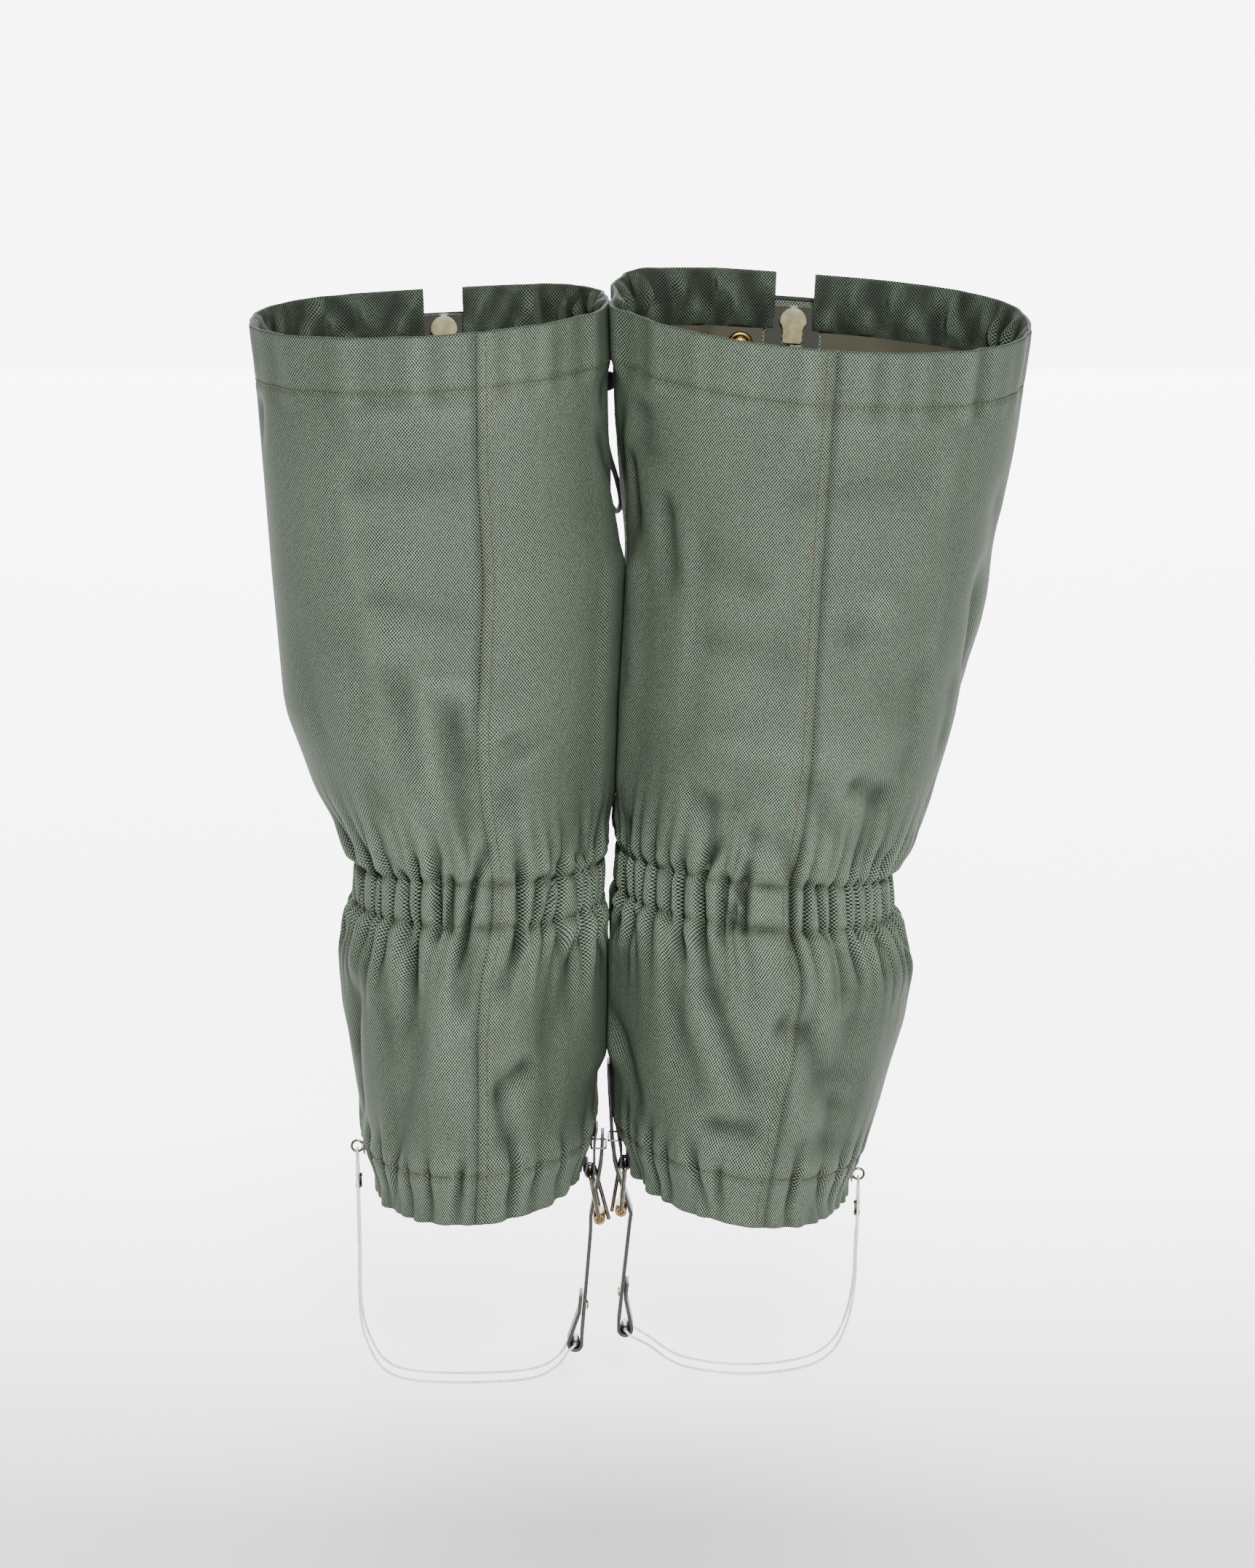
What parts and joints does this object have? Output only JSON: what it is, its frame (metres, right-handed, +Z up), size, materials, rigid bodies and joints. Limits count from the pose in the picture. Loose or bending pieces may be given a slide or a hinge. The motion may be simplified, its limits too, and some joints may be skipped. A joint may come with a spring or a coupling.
{
  "type": "gaiters",
  "caption": "Knee-high zip-front leg gaiters for boots, with elastic ankle and hem, drawcord top, storm flap, and an underfoot cable on a buckled strap.",
  "frame": {"origin": "on the floor, midway between the two boots, where the cables cross under the soles", "axes": "+Z up the legs, +Y towards the toes, +X towards the wearer's right leg"},
  "size_m": [0.3546, 0.1718, 0.5127],
  "materials": {
    "fabric": "grey-green coated nylon in a coarse basket weave, soft sheen",
    "lining": "plain khaki olive lining",
    "elastic": "flat braided elastic",
    "zip": "dark olive tape and moulded teeth",
    "slider": "olive khaki painted die casting, matt",
    "touch_tape": "black hook and loop tape",
    "brass": "aged brass",
    "cord": "black braided cord",
    "lock": "black moulded nylon",
    "steel": "nickel plated, slightly brassy, worn",
    "leather": "black leather, waxed",
    "cable": "wire rope in a clear to milky coating"
  },
  "bodies": {
    "root": {"left_outer_panel": "fabric", "left_inner_panel": "fabric", "left_lining": "lining", "left_ankle_elastic": "elastic", "left_hem_elastic": "elastic", "left_drawcord": "cord", "left_drawcord_loop": "cord", "left_zip_tape_outer": "zip", "left_zip_tape_inner": "zip", "left_zip_stop": "zip", "left_loop_tape": "touch_tape", "left_snap_stud": "brass", "left_lace_hook": "steel", "left_buckle_tab": "leather", "left_buckle_frame": "steel", "left_strap": "leather", "left_strap_keeper": "steel", "left_cable_tube": "steel", "left_cable": "cable", "left_cable_ferrule": "steel", "left_cable_eye": "steel", "right_outer_panel": "fabric", "right_inner_panel": "fabric", "right_lining": "lining", "right_ankle_elastic": "elastic", "right_hem_elastic": "elastic", "right_drawcord": "cord", "right_drawcord_loop": "cord", "right_zip_tape_outer": "zip", "right_zip_tape_inner": "zip", "right_zip_stop": "zip", "right_loop_tape": "touch_tape", "right_snap_stud": "brass", "right_lace_hook": "steel", "right_buckle_tab": "leather", "right_buckle_frame": "steel", "right_strap": "leather", "right_strap_keeper": "steel", "right_cable_tube": "steel", "right_cable": "cable", "right_cable_ferrule": "steel", "right_cable_eye": "steel"},
    "left_storm_flap": {"left_storm_flap": "fabric", "left_hook_tape": "touch_tape", "left_snap_cap": "brass"},
    "left_zip_slider": {"left_zip_slider": "slider"},
    "left_zip_pull": {"left_zip_pull": "slider"},
    "left_cord_lock": {"left_cord_lock_body": "lock"},
    "left_cord_lock_button": {"left_cord_lock_button": "lock"},
    "left_buckle_roller": {"left_buckle_roller": "brass"},
    "left_buckle_tongue": {"left_buckle_tongue": "steel"},
    "right_storm_flap": {"right_storm_flap": "fabric", "right_hook_tape": "touch_tape", "right_snap_cap": "brass"},
    "right_zip_slider": {"right_zip_slider": "slider"},
    "right_zip_pull": {"right_zip_pull": "slider"},
    "right_cord_lock": {"right_cord_lock_body": "lock"},
    "right_cord_lock_button": {"right_cord_lock_button": "lock"},
    "right_buckle_roller": {"right_buckle_roller": "brass"},
    "right_buckle_tongue": {"right_buckle_tongue": "steel"}
  },
  "joints": [
    {"name": "left_zip_slide", "type": "slide", "parent": "root", "child": "left_zip_slider", "axis": [0.0367, 0.077, -0.9964], "range_m": [0, 0.35]},
    {"name": "left_zip_pull_swing", "type": "hinge", "parent": "left_zip_slider", "child": "left_zip_pull", "pos_m": [-0.07612, 0.06308, 0.49523], "axis": [0.9993, -0.0028, 0.0366], "range_deg": [0, 7]},
    {"name": "left_storm_flap_fold", "type": "hinge", "parent": "root", "child": "left_storm_flap", "pos_m": [-0.08448, 0.09081, 0.11123], "axis": [-0.0367, -0.077, 0.9964], "range_deg": [0, 150]},
    {"name": "left_cord_lock_slide", "type": "slide", "parent": "root", "child": "left_cord_lock", "axis": [0.0113, 0.0615, -0.998], "range_m": [-0.006, 0.01]},
    {"name": "left_cord_lock_press", "type": "slide", "parent": "left_cord_lock", "child": "left_cord_lock_button", "axis": [0.5707, -0.8208, -0.0249], "range_m": [0, 0.003], "stiffness_N_per_m": 600, "springref_m": -0.001},
    {"name": "left_roller_spin", "type": "hinge", "parent": "root", "child": "left_buckle_roller", "pos_m": [-0.0044, -0.007, 0.088], "axis": [0, 1, 0], "continuous": true},
    {"name": "left_tongue_swing", "type": "hinge", "parent": "root", "child": "left_buckle_tongue", "pos_m": [-0.0088, -0.007, 0.11], "axis": [0, -1, 0], "range_deg": [0, 35]},
    {"name": "right_zip_slide", "type": "slide", "parent": "root", "child": "right_zip_slider", "axis": [-0.0576, 0.0662, -0.9961], "range_m": [0, 0.35]},
    {"name": "right_zip_pull_swing", "type": "hinge", "parent": "right_zip_slider", "child": "right_zip_pull", "pos_m": [0.08531, 0.06903, 0.4982], "axis": [0.9983, 0.0038, -0.0575], "range_deg": [0, 7]},
    {"name": "right_storm_flap_fold", "type": "hinge", "parent": "root", "child": "right_storm_flap", "pos_m": [0.08546, 0.09283, 0.11076], "axis": [-0.0576, 0.0662, -0.9961], "range_deg": [0, 150]},
    {"name": "right_cord_lock_slide", "type": "slide", "parent": "root", "child": "right_cord_lock", "axis": [-0.017, 0.0609, -0.998], "range_m": [-0.006, 0.01]},
    {"name": "right_cord_lock_press", "type": "slide", "parent": "right_cord_lock", "child": "right_cord_lock_button", "axis": [-0.9513, -0.3071, 0.0258], "range_m": [0, 0.003], "stiffness_N_per_m": 600, "springref_m": -0.001},
    {"name": "right_roller_spin", "type": "hinge", "parent": "root", "child": "right_buckle_roller", "pos_m": [0.0056, 0.008, 0.088], "axis": [0, 1, 0], "continuous": true},
    {"name": "right_tongue_swing", "type": "hinge", "parent": "root", "child": "right_buckle_tongue", "pos_m": [0.0076, 0.008, 0.11], "axis": [0, 1, 0], "range_deg": [0, 35]}
  ]
}
